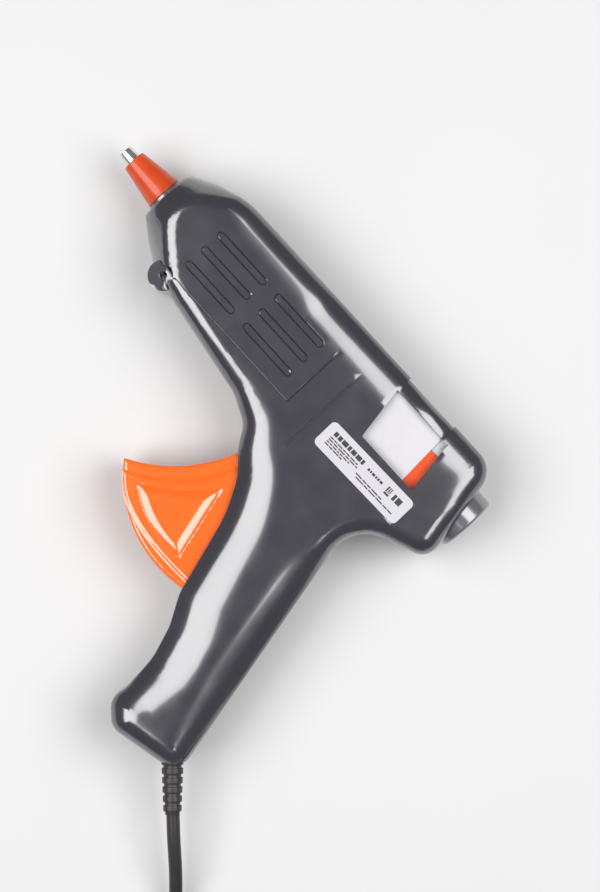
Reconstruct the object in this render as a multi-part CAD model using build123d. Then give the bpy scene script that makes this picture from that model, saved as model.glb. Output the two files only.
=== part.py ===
from build123d import *
import math
import os

# Hot-melt glue gun for 11 mm sticks, lying on its right side. Millimetres.
# Everything is drawn in the tool's own frame: X runs back along the barrel from
# the nozzle's tip, Y up through the top of the barrel as the gun is held, and Z
# out of its left side, with the parting plane of the two shells at Z = 0.
# PLACE then moves it all so that the origin is at the middle of its base.

# --- driving dimensions -----------------------------------------------------
THICKNESS = 34.0  # across the two shells
HALF = THICKNESS / 2
EDGE_R = 7.0  # rounding of the shells' long edges
WALL = 2.2
BORE_R = 6.0  # guides an 11.2 mm glue stick
NOSE_X = 24.0  # the shells' front face
NOSE_R = 13.0  # the front face's radius
NOSE_SLOPE = 0.57  # how fast the nose cone opens
NOSE_EDGE_R = 8.0  # rounding where the nose cone runs out into the shells
TOP_Y = 21.7
LENGTH = 195.0  # nozzle tip to the back of the inlet collar
HEIGHT_LOW = -151.95  # lowest point of the grip as held

TRIGGER_AT = (127.0, -43.0)  # its pivot
TRIGGER_SWEEP_R = 55.2  # its lower edge is an arc round the pivot
TRIGGER_HALF = 9.0
TRIGGER_PIN_R = 2.0
ARM = 27.0  # pivot to the feed link's pin
ARM_LEAN = 75.0  # the arm's angle from +X at rest, degrees
LINK_PIN_R = 1.5
CLAMP_AT = (166.0, 12.5)  # the stick clamp's pivot on the carriage
CLAMP_PIN_R = 1.2
TANG_PIN_X = 165.0
SPRING_Y, SPRING_Z = -19.5, 7.9
HEATER_SCREW_X = (48, 88)
STAND_AT = (46.0, -21.5)  # the wire stand's hole, in a boss under the nose
STAND_HOLE_R = 1.5
VENT_X = (61.75, 93.75)
VENT_Y = (4.75, -3.4, -11.5)

CORD_R = 2.6
CORD_EXIT = (184.5, -144.4)  # middle of the flat on the grip's heel
CORD_HEADING = -42.5  # degrees from +X
GUARD_OUT = 21.5  # length of the cord guard outside the shells
FLOOR = -HALF

SCREWS = [(48, 14.2), (105, 15.2), (63, -19.6), (184.5, -15.8),
          (148, -38), (164, -113), (160, -143)]
BOSS_R = 3.3
PILOT_R = 1.25

# corners of the shells' outline, (x, y, radius), clockwise from the nose
OUTLINE = [
    (16, 12.9, 0), (48, TOP_Y, 40), (185.6, TOP_Y, 10), (194.1, -20.4, 7.6),
    (163.8, -32.1, 16), (189.9, -145.9, 7.6), (159.5, -152.6, 7.6),
    (150.8, -145, 7.6), (152, -138, 15), (150.6, -123, 30), (146, -110, 20),
    (139.3, -98.8, 20), (129.2, -65.5, 60), (121.5, -52.5, 25),
    (114.2, -45.8, 15), (108, -37, 10), (97, -32, 20), (57, -25.7, 60),
    (38.5, -21.5, 9), (16, -5.3, 0),
]

MID_X = LENGTH / 2
MID_Y = (TOP_Y + HEIGHT_LOW) / 2
PLACE = Pos(-MID_X, -MID_Y, HALF)

os.makedirs("parts", exist_ok=True)


# --- small helpers -----------------------------------------------------------
def save(shape, node):
    """Writes one node's solids, moved to the model's own frame."""
    solids = [PLACE * s for s in shape.solids()]
    export_step(solids[0] if len(solids) == 1 else Compound(children=solids),
                f"parts/{node}.step")


def block(x0, x1, y0, y1, z0, z1):
    middle = Pos((x0 + x1) / 2, (y0 + y1) / 2, (z0 + z1) / 2)
    return middle * Box(abs(x1 - x0), abs(y1 - y0), abs(z1 - z0))


def plate(face, z0, z1):
    """A face in the XY plane, extruded between the heights z0 and z1."""
    return extrude(Pos(0, 0, min(z0, z1)) * face, abs(z1 - z0), dir=(0, 0, 1))


def disc(x, y, r, z0, z1):
    return Pos(x, y, (z0 + z1) / 2) * Cylinder(r, abs(z1 - z0))


def polygon(points):
    return make_face(Polyline(*points, close=True))


def rounded(corners):
    """A closed outline with its own radius at each corner."""
    line = FilletPolyline(*[(x, y) for x, y, _ in corners],
                          radius=[r for _, _, r in corners], close=True)
    return make_face(line)


def turned(points):
    """A solid of revolution round the barrel's axis, from (x, radius) points."""
    face = make_face(Polyline(*[(x, r, 0) for x, r in points], close=True))
    return revolve(face, Axis.X, 360)


def tube_x(r_out, r_in, x0, x1):
    return turned([(x0, r_in), (x0, r_out), (x1, r_out), (x1, r_in)])


def strap_face(a, r_a, b, r_b):
    """The outline of a strap with rounded ends round the points a and b."""
    ends = (Pos(*a) * Circle(r_a)).edges() + (Pos(*b) * Circle(r_b)).edges()
    return make_hull(ends)


def racetrack(x, y, length, width, z0, z1):
    return plate(Pos(x, y) * SlotOverall(length, width), z0, z1)


def corner_radii(points):
    """The radius of the arc at each inner point of a cord's or wire's route."""
    radii = []
    for a, b, c in zip(points, points[1:], points[2:]):
        before, after = Vector(b) - Vector(a), Vector(c) - Vector(b)
        turn = math.radians(before.get_angle(after))
        radii.append(0.45 * min(before.length, after.length) / math.tan(turn / 2))
    return radii


def hose(points, r):
    """A round tube along straight runs joined by tangent arcs."""
    path = FilletPolyline(*points, radius=corner_radii(points))
    start = Plane(origin=path @ 0, z_dir=path % 0)
    return sweep(start * Circle(r), path=path), path.length


def coil_spring(length, r, wire, turns):
    """A helical spring along Z from 0 to length."""
    line = Helix(pitch=(length - 2 * wire) / turns, height=length - 2 * wire, radius=r)
    start = Plane(origin=line @ 0, z_dir=line % 0)
    return Pos(0, 0, wire) * sweep(start * Circle(wire), path=line, is_frenet=True)


def along_cord(run, side, height=HALF):
    """A point run mm out along the cord guard's heading and side mm to its left."""
    a = math.radians(CORD_HEADING)
    return (CORD_EXIT[0] + run * math.cos(a) - side * math.sin(a),
            CORD_EXIT[1] + run * math.sin(a) + side * math.cos(a),
            FLOOR + height)


# --- the two shells ----------------------------------------------------------
def shell_block():
    """The outer shape of both shells together, as one solid."""
    body = plate(rounded(OUTLINE), -HALF, HALF)
    rims = [e for e in body.edges()
            if abs(abs(e.center().Z) - HALF) < 0.01 and e.center().X > 16.5]
    body = fillet(rims, EDGE_R)
    nose = turned([(NOSE_X, 0), (NOSE_X, NOSE_R - 0.8), (NOSE_X + 0.8, NOSE_R),
                   (NOSE_X + 60, NOSE_R + NOSE_SLOPE * 60), (NOSE_X + 60, 300),
                   (400, 300), (400, 0)])
    body = body & nose
    body = fillet([e for e in body.edges() if on_nose_cone(e)], NOSE_EDGE_R)
    heel = Plane(origin=(*CORD_EXIT, 0), z_dir=along_normal())
    return split(body, bisect_by=heel, keep=Keep.BOTTOM)


def on_nose_cone(edge):
    """Whether an edge is one where the nose cone runs out into the shells."""
    ends = [edge.position_at(t) for t in (0, 0.5, 1)]
    return all(p.X > NOSE_X + 1.5 and
               abs(math.hypot(p.Y, p.Z) - NOSE_R - NOSE_SLOPE * (p.X - NOSE_X - 0.8)) < 0.15
               for p in ends)


def along_normal():
    a = math.radians(CORD_HEADING)
    return (math.cos(a), math.sin(a), 0)


def cavity():
    """The hollow inside the shells, stepped to follow their rounded edges."""
    outer = rounded(OUTLINE)
    room = None
    for inset, half in ((WALL, 9.8), (3.4, 12.4), (4.8, 13.8), (6.6, 14.8)):
        step = plate(offset(outer, amount=-inset), -half, half)
        room = step if room is None else room + step
    cone = turned([(NOSE_X + 4, 0), (NOSE_X + 4, NOSE_R - 0.6),
                   (NOSE_X + 64, NOSE_R - 0.6 + NOSE_SLOPE * 60), (NOSE_X + 64, 300),
                   (400, 300), (400, 0)])
    heel = Plane(origin=(CORD_EXIT[0] - 2.4, CORD_EXIT[1] + 2.2, 0), z_dir=along_normal())
    return split(room & cone, bisect_by=heel, keep=Keep.BOTTOM)


def ribs(room):
    """What the shells carry inside: cradles, rails, screw bosses and seats."""
    webs = block(36, 38, -30, 19.5, -HALF, HALF) + block(90.5, 92.5, -9.8, 19.5, -HALF, HALF)
    webs = webs - turned([(30, 0), (30, 9.4), (120, 9.4), (120, 0)])
    rails = [block(112, 168, -14.6, -11.4, s * 9.2, s * HALF) for s in (1, -1)]
    webs = webs + rails
    webs = webs - block(88, 94, -12, -30, -HALF, HALF)
    bosses = [disc(x, y, BOSS_R, -HALF, HALF) for x, y in SCREWS]
    pivot = [disc(*TRIGGER_AT, 5, s * 9.5, s * HALF) for s in (1, -1)]
    post = disc(176, SPRING_Y, 1.6, SPRING_Z - 2, HALF)
    seat = block(*heel_box(), -HALF, HALF) - cord_hole()
    inside = (webs & room) + [(b & room) for b in bosses + pivot + [post]]
    return inside + (seat & room)


def heel_box():
    return (CORD_EXIT[0] - 9, CORD_EXIT[0] + 2, CORD_EXIT[1] - 4, CORD_EXIT[1] + 7)


def cord_hole():
    """The hole for the cord guard's neck and its flange, inside the heel."""
    a, b = along_cord(-14, 0, HALF), along_cord(6, 0, HALF)
    neck = rod(a, b, 3.9)
    flange = rod(along_cord(-6.2, 0, HALF), along_cord(-3.9, 0, HALF), 6.0)
    return neck + flange


def rod(a, b, r):
    """A round bar from point a to point b."""
    axis = Vector(b) - Vector(a)
    return Plane(origin=Vector(a) + axis / 2, z_dir=axis) * Cylinder(r, axis.length)


def window():
    """The opening in both sides that shows the carriage, open over the top."""
    side = rounded([(138.3, 14.6, 0), (142.1, -7.2, 1), (169.9, -7.2, 1), (166.4, 14.6, 0)])
    return plate(side, -HALF - 1, HALF + 1)


def make_shells():
    room = cavity()
    body = shell_block() - room + ribs(room)
    # stand boss under the nose, with the hole for a wire stand
    boss = disc(*STAND_AT, 6.0, -12.5, 12.5)
    body = body + (boss - room)
    for s in (1, -1):
        body = body - disc(*STAND_AT, 3.9, s * 12.5, s * (HALF + 1))
    body = body - disc(*STAND_AT, STAND_HOLE_R, -HALF - 1, HALF + 1)
    # nozzle hole, inlet hole and cord hole
    body = body - turned([(20, 0), (20, 8.05), (32, 8.05), (32, 0)])
    body = body - turned([(182, 0), (182, 12.0), (198, 12.0), (198, 0)])
    body = body - cord_hole()
    # the trigger's slot, a sector round its pivot
    slot = plate(rounded([(112.2, -42.5, 0), (121, -38, 0), (150, -60, 0), (150, -99, 0),
                          (139.5, -98.9, 0), (122, -99, 0), (100, -70, 0)]),
                 -TRIGGER_HALF - 0.4, TRIGGER_HALF + 0.4)
    slot = slot & disc(*TRIGGER_AT, TRIGGER_SWEEP_R + 0.5, -HALF, HALF)
    body = body - (slot - disc(*TRIGGER_AT, 6, -HALF, HALF))
    body = body - window()
    top = block(138.6, 163.6, 14.5, TOP_Y + 1, -HALF - 1, HALF + 1)
    body = body - (top - shallow_top())
    body = body - disc(*TRIGGER_AT, TRIGGER_PIN_R, -13.5, 13.5)
    left = split(body, bisect_by=Plane.XY, keep=Keep.TOP)
    right = split(body, bisect_by=Plane.XY, keep=Keep.BOTTOM)
    for x, y in SCREWS:
        left = left - disc(x, y, PILOT_R, -1, 9)
        right = right - disc(x, y, PILOT_R, -HALF, 1) - disc(x, y, 3.1, -HALF - 1, -8)
    return decorate(left), right


def shallow_top():
    """What stays of the shells' crown between the two windows: 0.8 mm lower."""
    core = plate(offset(rounded(OUTLINE), amount=-0.8), -HALF + 0.8, HALF - 0.8)
    rims = [e for e in core.edges()
            if abs(abs(e.center().Z) - (HALF - 0.8)) < 0.01 and e.center().X > 20]
    return fillet(rims, EDGE_R - 0.9)


def decorate(left):
    """Blind vent slots, panel lines and the label's seat in the left side."""
    for x in VENT_X:
        for y in VENT_Y:
            left = left - racetrack(x, y, 26.5, 3.4, HALF - 0.9, HALF + 1)
    left = left - block(50, 113.4, -19.4, -18.6, HALF - 0.5, HALF + 1)
    left = left - block(112.6, 113.4, -19.4, 8, HALF - 0.5, HALF + 1)
    left = left - block(124.6, 125.4, -32, 7, HALF - 0.5, HALF + 1)
    return left - label_plate(45.0, 12.7, HALF - 0.3, HALF + 1)


def label_plate(length, width, z0, z1):
    at = Pos(152.8, -16.0) * Rot(0, 0, 1.2)
    return plate(at * RectangleRounded(length, width, 2), z0, z1)


# --- hot end -------------------------------------------------------------------
def make_nozzle():
    body = turned([(0, 0), (0, 2.75), (6, 3.3), (22, 4.6), (26.5, 4.6), (26.5, 6.6),
                   (30, 6.6), (30, 3.6), (34, 3.6), (34, 0)])
    hexagon = extrude(Plane.YZ * Pos(0, 0) * RegularPolygon(6.6, 6), 60)
    body = body & (hexagon + tube_x(4.8, 0, -1, 40))
    bore = turned([(-1, 0), (-1, 0.9), (3, 0.9), (7, 1.4), (19, 1.4), (19, 2.1),
                   (35, 2.1), (35, 0)])
    return body - bore


def make_nozzle_cover():
    return turned([(4.9, 3.2), (4.9, 4.4), (5.4, 4.7), (21.0, 7.3), (22.0, 7.6),
                   (22.6, 7.3), (22.6, 4.6), (22, 4.6), (6, 3.3)])


def make_chamber():
    body = turned([(30, 0), (30, 7), (38, 7), (42, 9), (92, 9), (92, 7.2), (98, 7.2), (98, 0)])
    bed = block(46, 90, -12.9, 0, -8, 8)
    fins = [block(x, x + 1.6, -9, 12.0, -10.5, 10.5) for x in (52, 60, 68, 76, 84)]
    fins = [f & turned([(0, 0), (0, 11.4), (200, 11.4), (200, 0)]) for f in fins]
    bore = turned([(29, 0), (29, 3.6), (34, 3.6), (34, 1.3), (38, 1.3), (46, BORE_R),
                   (99, BORE_R), (99, 0)])
    body = (body + bed + fins) - bore
    body = body - block(50, 86, -13.5, -10.3, -6.3, 6.3)
    for side in (1, -1):  # ways out for the electrodes' tabs
        body = body - block(85, 91, -13.5, -10.3, side * 2.1, side * 5.3)
    for x in HEATER_SCREW_X:
        body = body - Pos(x, -11.5, 0) * Rot(90, 0, 0) * Cylinder(1.0, 4)
    return body


def make_heater():
    """PTC stone, its two electrodes, the film round them and the clamp plate."""
    stone = block(53, 83, -12.5, -10.7, -5, 5)
    upper = block(52, 85, -10.7, -10.45, -5, 5) + block(84, 94, -10.7, -10.45, 2.4, 5)
    lower = block(52, 85, -12.75, -12.5, -5, 5) + block(84, 94, -12.75, -12.5, -5, -2.4)
    film = block(51, 85, -12.9, -10.3, -5.6, 5.6) - block(50, 86, -12.75, -10.45, -5.3, 5.3)
    cover = block(46, 90, -14.1, -12.9, -8, 8)
    for x in HEATER_SCREW_X:
        cover = cover - Pos(x, -13, 0) * Rot(90, 0, 0) * Cylinder(1.0, 4)
    screws = [Pos(x, -12.1, 0) * Rot(90, 0, 0) * Cylinder(1.0, 4)
              + Pos(x, -14.85, 0) * Rot(90, 0, 0) * Cylinder(2.0, 1.5) for x in HEATER_SCREW_X]
    return stone, upper + lower, film, cover, screws


def make_sleeve():
    sleeve = turned([(92, 7.2), (92, 9.0), (104, 9.0), (114, 7.4), (114, 6.6), (112, 5.7),
                     (98, 5.7), (98, 7.2)])
    ring = tube_x(9.9, 9.0, 94.6, 96.2) - block(90, 100, 0, 20, -0.8, 0.8)
    ears = [block(94.6, 96.2, 9.2, 12.2, s * 0.8, s * 1.7) for s in (1, -1)]
    return sleeve, ring + ears


# --- stick drive ---------------------------------------------------------------
def link_pin_place():
    a = math.radians(ARM_LEAN)
    return TRIGGER_AT[0] + ARM * math.cos(a), TRIGGER_AT[1] + ARM * math.sin(a)


def make_carriage():
    """A white moulded box round the stick, open in front, with ears for the clamp."""
    outer = block(130.5, 163, -11.1, 18, -13.6, 13.6)
    outer = fillet([e for e in outer.edges() if e.center().Y > 17 and abs(e.center().Z) > 13], 4)
    room = block(129, 160.6, -8.9, 15.8, -11.4, 11.4)
    room = fillet([e for e in room.edges() if e.center().Y > 15 and abs(e.center().Z) > 11], 2)
    body = outer - room + tube_x(8.0, 0, 130.5, 161)
    body = body + block(130.5, 161, -0.8, 0.8, -12, 12)
    ears = [block(162, 169.2, 8.8, 16.0, s * 10.2, s * 12.4) for s in (1, -1)]
    lug = block(148.2, 151.6, -21.4, -10, SPRING_Z - 1, SPRING_Z + 1)
    # thin lips lap over the sides of the clamp, along its lean
    lip = polygon([(160, 14), (163.4, 14), (164.9, -9), (160, -9)])
    lips = plate(lip, 13.15, 13.6) + plate(lip, -13.6, -13.15)
    body = body + ears + lug + lips
    body = body - tube_x(BORE_R + 0.2, 0, 120, 180)
    body = body - disc(*CLAMP_AT, CLAMP_PIN_R, -14, 14)
    return body - disc(149.8, SPRING_Y, 0.9, 0, 14)


def make_clamp():
    """The tilting plate that bites the stick, leaning back by its own travel."""
    lean = CLAMP_AT[0] - 2.8
    front = [(lean, 16), (lean + 0.25, 8.6), (lean + 1.5, -11)]
    wide = polygon([front[1], front[2], (168.4, -11), (170.2, -8), (171, -2), (170.2, 4),
                    (168.4, 8.0), (167.6, 8.6)])
    neck = polygon([front[0], front[2], (169.5, -11), (169.5, 8), (169, 16)])
    low = link_pin_place()[1]
    tang = polygon([(164.7, -10), (164.7, -12.4), (TANG_PIN_X - 2.9, -14),
                    (TANG_PIN_X - 2.9, low), (TANG_PIN_X + 2.9, low), (168.4, -10)])
    body = plate(wide, -13.0, 13.0) + plate(neck, -9.8, 9.8) + plate(tang, -2.8, 2.8)
    body = body + disc(TANG_PIN_X, low, 2.9, -2.8, 2.8)
    body = body - tube_x(BORE_R + 0.4, 0, 150, 180)
    body = body - disc(*CLAMP_AT, CLAMP_PIN_R + 0.05, -14, 14)
    return body - disc(TANG_PIN_X, low, LINK_PIN_R, -5, 5)


def make_link():
    """Two side plates and a bridge, from the trigger's arm to the clamp's tang."""
    x, y = link_pin_place()
    side = strap_face((x, y), 3.6, (TANG_PIN_X, y), 3.6)
    plates = plate(side, 3.3, 5.3) + plate(side, -5.3, -3.3)
    bridge = block(144, 156, y - 1.8, y + 1.8, -3.4, 3.4)
    body = plates + bridge - disc(x, y, LINK_PIN_R + 0.05, -9, 9)
    return body - plate(Pos(TANG_PIN_X, y) * Rot(0, 0, 90) * SlotOverall(5.2, 3.5), -9, 9)


def finger_side():
    """The trigger's profile outside and just inside the grip."""
    tip = (86.8, -79.6)
    finger = ThreePointArc((114.6, -46.4), (104.6, -64.6), tip)
    lower = ThreePointArc(tip, (107.3, -94.6), (143.0, -95.84))
    back = Polyline((143.0, -95.84), (134.5, -60), (131, -46))
    top = Polyline((131, -46), (124, -37.5), (114.6, -46.4))
    return make_face(Wire(finger.edges() + lower.edges() + back.edges() + top.edges()))


def rim_step():
    """The shallow step inside the trigger's rim, on both sides."""
    finger = ThreePointArc((119.5, -49.1), (108.9, -68.2), (90.6, -83.0))
    r = TRIGGER_SWEEP_R - 2.4
    foot = (90.6, -83.0)
    x = 143.0
    low = (x, TRIGGER_AT[1] - math.sqrt(r**2 - (x - TRIGGER_AT[0])**2))
    lower = ThreePointArc(foot, (TRIGGER_AT[0] - 18.0, TRIGGER_AT[1] - math.sqrt(r**2 - 18.0**2)), low)
    rest = Polyline(low, (136, -60), (132, -46), (119.5, -49.1))
    return make_face(Wire(finger.edges() + lower.edges() + rest.edges()))


def dish():
    """The deep dish in the middle of the trigger's sides."""
    tip, top, foot = (97.2, -82.4), (121.1, -59.6), (129.2, -90.2)
    finger = ThreePointArc(top, (111.4, -71.6), tip)
    lower = ThreePointArc(tip, (112.0, -89.2), foot)
    face = make_face(Wire(finger.edges() + lower.edges() + Line(foot, top).edges()))
    return fillet(face.vertices(), 2.0)


def make_trigger():
    x, y = link_pin_place()
    grip = plate(finger_side(), -TRIGGER_HALF, TRIGGER_HALF)
    upper = [e for e in grip.edges()
             if abs(abs(e.center().Z) - TRIGGER_HALF) < 0.01 and e.center().X < 116]
    grip = fillet(upper, 1.6)
    for depth, face, soft in ((0.7, rim_step(), 0.3), (2.2, dish(), 0.9)):
        for side in (1, -1):
            outer, floor = side * (TRIGGER_HALF + 1), side * (TRIGGER_HALF - depth)
            pocket = plate(face, floor, outer)
            pocket = fillet([e for e in pocket.edges() if abs(e.center().Z - floor) < 0.01], soft)
            grip = grip - pocket
    grip = grip + disc(*TRIGGER_AT, 6.6, -9.2, 9.2)
    arm = strap_face(TRIGGER_AT, 5.5, (x, y), 3.4)
    body = grip + plate(arm, -2.8, 2.8)
    body = body - disc(*TRIGGER_AT, TRIGGER_PIN_R + 0.05, -12, 12)
    return body - disc(x, y, LINK_PIN_R, -5, 5)


def make_return_spring():
    """Extension spring between the carriage's lug and a post in the left shell."""
    r, wire_r = 2.2, 0.35
    coil = Pos(154.1, SPRING_Y, SPRING_Z) * Rot(0, 90, 0) * coil_spring(19, r, wire_r, 14)
    rear = Pos(176, SPRING_Y, SPRING_Z) * Torus(r, wire_r)
    front = Pos(151.7, SPRING_Y, SPRING_Z) * Rot(90, 0, 0) * Torus(r, wire_r)
    return coil, rear, front


def make_inlet_collar():
    body = turned([(180.0, 9.6), (180.0, 13.4), (182.0, 13.4), (182.0, 12.0), (194.2, 12.0),
                   (LENGTH, 11.2), (LENGTH, 7.4), (193.6, BORE_R), (183.6, BORE_R),
                   (180.0, 8.0)])
    return body


# --- wiring ----------------------------------------------------------------------
def make_guard():
    """A ribbed sleeve that tapers from the heel of the grip along the cord."""
    profile = [(-14, CORD_R), (-14, 3.7), (-6.1, 3.7), (-6.1, 5.8), (-4.0, 5.8), (-4.0, 3.8), (0, 3.8)]
    step = GUARD_OUT / 6
    for i in range(6):
        start, r = i * step, 4.3 - 0.14 * i
        profile += [(start, r), (start + step * 0.62, r - 0.05), (start + step * 0.62, r - 0.75),
                    (start + step, r - 0.75)]
    profile[-1] = (GUARD_OUT, profile[-1][1])
    profile.append((GUARD_OUT, CORD_R))
    face = make_face(Polyline(*[(x, 0, r) for x, r in profile], close=True))
    body = revolve(face, Axis.X, 360)
    return Pos(*CORD_EXIT, 0) * Rot(0, 0, CORD_HEADING) * body


def make_inner_cable():
    return rod(along_cord(-24, 0, HALF), along_cord(0, 0, HALF), CORD_R)


def make_cord_clamp():
    """A plate that two screws pull down on the cable inside the grip."""
    here = Pos(*along_cord(-19, 0, HALF)) * Rot(0, 0, CORD_HEADING)
    strap = here * (Pos(0, 0, 3.5) * Box(6, 17, 1.8))
    screws = []
    for side in (1, -1):
        strap = strap - here * (Pos(0, side * 6, 3.5) * Cylinder(1.2, 4))
        screws.append(here * (Pos(0, side * 6, 1.2) * Cylinder(1.2, 9.4)
                              + Pos(0, side * 6, 5.2) * Cylinder(2.2, 1.6)))
    return strap, screws


WIRE_R = 0.95
TERMINALS = {"live": (-11.2, 4.2), "neutral": (-12.6, -3.6)}
# routes of the two cores, from the cable's cut end up the grip to the heater
LIVE = [(157.0, -116.0, -4.5), (155.5, -104.0, -10.8), (157.5, -86.0, -12.1),
        (158.2, -68.0, -11.9), (156.5, -50.0, -12.1), (152.5, -34.0, -11.9),
        (139.0, -23.6, -12.1), (122.0, -22.6, -11.9), (112.0, -20.5, -7.5),
        (107.5, -15.6, -0.6), (103.6, -11.5, 4.0)]
NEUTRAL = [(160.4, -118.4, -5.2), (158.4, -105.0, -11.0), (160.2, -87.0, -12.0),
           (160.9, -68.5, -12.1), (159.3, -49.0, -11.9), (155.2, -31.4, -12.1),
           (141.0, -20.8, -11.9), (123.0, -19.9, -12.1), (112.0, -17.4, -9.4),
           (104.2, -13.2, -3.9)]


def wire(middle, side, terminal):
    y, z = TERMINALS[terminal]
    ends = [along_cord(-24, side, HALF), along_cord(-30, side, HALF + 0.1)]
    return hose(ends + middle + [(99.1, y, z)], WIRE_R)[0]


def make_terminals():
    return [Pos(96.5, y, z) * Rot(0, 90, 0) * Cylinder(1.5, 5) for y, z in TERMINALS.values()]


# --- the cord outside ------------------------------------------------------------
# (run, side, height above the floor): from the heel of the grip to the coil
LEAD = [(0, 0, HALF), (25.0, 0, HALF), (49.0, 1.4, 10.2), (72.0, -0.4, CORD_R + 0.05),
        (87.5, 0, 3.2)]
COIL_MID_R = 31.0
COIL_PITCH = 2 * CORD_R
COIL_OUT_R = COIL_MID_R + COIL_PITCH
COIL_AT = (97.8, COIL_OUT_R)
COIL_LIFT = 0.8  # it rests on its tie
COIL_LEAVES = 118.0  # heading of the tail, degrees from the guard's heading


def tail_points():
    """From where the outer top turn leaves the coil to the plug."""
    a = math.radians(COIL_LEAVES - 90)
    run, side = COIL_AT[0] + COIL_OUT_R * math.cos(a), COIL_AT[1] + COIL_OUT_R * math.sin(a)
    steps = [(-5.2, 9.8, 8.6), (-8.7, 16.8, 8.7), (-13.1, 24.7, 8.6)]
    return [(run + x, side + y, z) for x, y, z in steps]


def make_coil():
    wide, high = 3 * COIL_PITCH, 2 * COIL_PITCH
    section = Pos(COIL_MID_R, 0, COIL_LIFT + high / 2) * (
        Plane.XZ * RectangleRounded(wide, high, 2.4))
    x, y, _ = along_cord(*COIL_AT)
    return Pos(x, y, FLOOR) * revolve(section, Axis.Z, 360)


def make_tie():
    """A flat tie round the coil's turns, on the side towards the plug."""
    wide, high = 3 * COIL_PITCH + 0.5, 2 * COIL_PITCH + 0.1
    band = Box(wide + 1.2, 4.5, high + 1.2) - Box(wide, 10, high)
    x, y, _ = along_cord(*COIL_AT)
    turn = Rot(0, 0, CORD_HEADING + 200)
    return Pos(x, y, FLOOR + COIL_LIFT + COIL_PITCH) * turn * Pos(COIL_MID_R, 0, 0) * band


def make_plug():
    """A moulded 13 A plug on its back: body, live and neutral, earth, fuse cover."""
    relief = turned_at([(0, CORD_R), (0, 3.6), (4, 4.0), (14, 5.4), (14, CORD_R)])
    relief = relief + turned_at([(6, 0), (6, 4), (14, 5), (14, 0)])
    body = Pos(36, 0, 9.2) * Box(46, 47, 18)
    body = fillet([e for e in body.edges().filter_by(Axis.Z)], 11)
    body = fillet([e for e in body.edges() if abs(e.center().Z - 18.2) < 0.01], 1.2)
    body = fillet([e for e in body.edges() if abs(e.center().Z - 0.2) < 0.01], 2.5)
    body = body + relief
    body = body - Pos(39, 0, 17.9) * Box(9, 27, 1.0)
    cover = Pos(39, 0, 17.85) * Box(8.8, 26.8, 0.9)
    pins = [Pos(27, s * 11.1, 18.2 + 8.85) * Box(4.0, 6.35, 17.7) for s in (1, -1)]
    pins = [chamfer(p.edges().group_by(Axis.Z)[-1], 0.9) for p in pins]
    earth = Pos(49.2, 0, 18.2 + 11.35) * Box(8.0, 4.0, 22.7)
    earth = chamfer(earth.edges().group_by(Axis.Z)[-1], 1.0)
    x, y, _ = along_cord(*tail_points()[-1])
    where = Pos(x, y, FLOOR) * Rot(0, 0, CORD_HEADING + COIL_LEAVES + 1)
    return [where * s for s in (body, Compound(children=pins), earth, cover)]


def turned_at(points):
    """A solid of revolution along X at the height of the cord in the plug."""
    face = make_face(Polyline(*[(x, r, 0) for x, r in points], close=True))
    return Pos(0, 0, 8.6) * revolve(face, Axis.X, 360)


# --- build and write -----------------------------------------------------------
housing_left, housing_right = make_shells()
save(housing_left, "housing_left")
save(housing_right, "housing_right")
save(label_plate(44, 11.7, HALF - 0.3, HALF - 0.05), "rating_label")

save(make_nozzle(), "nozzle")
save(make_nozzle_cover(), "nozzle_cover")
save(tube_x(8.0, 4.65, 22.7, 26.4), "front_collar")
save(Pos(32.88, 0, 0) * Sphere(1.7), "check_ball")
save(Pos(19.1, 0, 0) * Rot(0, 90, 0) * coil_spring(11.0, 1.4, 0.25, 7), "check_spring")
save(make_chamber(), "melting_chamber")
stone, electrodes, film, cover, heater_screws = make_heater()
save(stone, "ptc_heater")
save(electrodes, "heater_electrodes")
save(film, "heater_film")
save(cover, "heater_clamp")
save(Compound(children=heater_screws), "heater_screws")
sleeve, ring = make_sleeve()
save(sleeve, "inlet_sleeve")
save(ring, "sleeve_clamp")
save(make_inlet_collar(), "inlet_collar")

link_x, link_y = link_pin_place()
save(make_carriage(), "carriage")
save(make_clamp(), "stick_clamp")
save(disc(*CLAMP_AT, CLAMP_PIN_R, -12.6, 12.6), "clamp_pin")
save(make_trigger(), "trigger")
save(disc(*TRIGGER_AT, TRIGGER_PIN_R, -13.5, 13.5), "trigger_pin")
save(make_link(), "feed_link")
save(disc(link_x, link_y, LINK_PIN_R, -5.4, 5.4), "arm_pin")
save(disc(TANG_PIN_X, link_y, LINK_PIN_R, -5.4, 5.4), "tang_pin")
save(Compound(children=list(make_return_spring())), "return_spring")

save(make_guard(), "cord_guard")
save(make_inner_cable(), "inner_cable")
strap, strap_screws = make_cord_clamp()
save(strap, "cord_clamp")
save(Compound(children=strap_screws), "cord_clamp_screws")
save(wire(LIVE, 1.3, "live"), "wire_live")
save(wire(NEUTRAL, -1.3, "neutral"), "wire_neutral")
save(Compound(children=make_terminals()), "terminals")
save(Compound(children=[disc(x, y, PILOT_R, -8, 8.4) + disc(x, y, 2.8, -10, -8)
                        for x, y in SCREWS]), "housing_screws")

for name, route in (("cord_lead", LEAD), ("cord_tail", tail_points())):
    points = [along_cord(*p) for p in route]
    tube, long = hose(points, CORD_R)
    save(tube, name)
    radii = [round(r, 1) for r in corner_radii(points)]
    print(name, "length", round(long, 1), "radii", radii,
          "volume / (section x length)", round(tube.volume / (math.pi * CORD_R**2 * long), 4))
save(make_coil(), "cord_coil")
save(make_tie(), "coil_tie")
plug_body, plug_pins, plug_earth, fuse_cover = make_plug()
save(plug_body, "plug_body")
save(plug_pins, "plug_pins")
save(plug_earth, "plug_earth_pin")
save(fuse_cover, "plug_fuse_cover")
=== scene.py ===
"""Hot-melt glue gun for 11 mm sticks: the finish of its pieces, its cord, and the stage it lies on."""
import math

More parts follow.
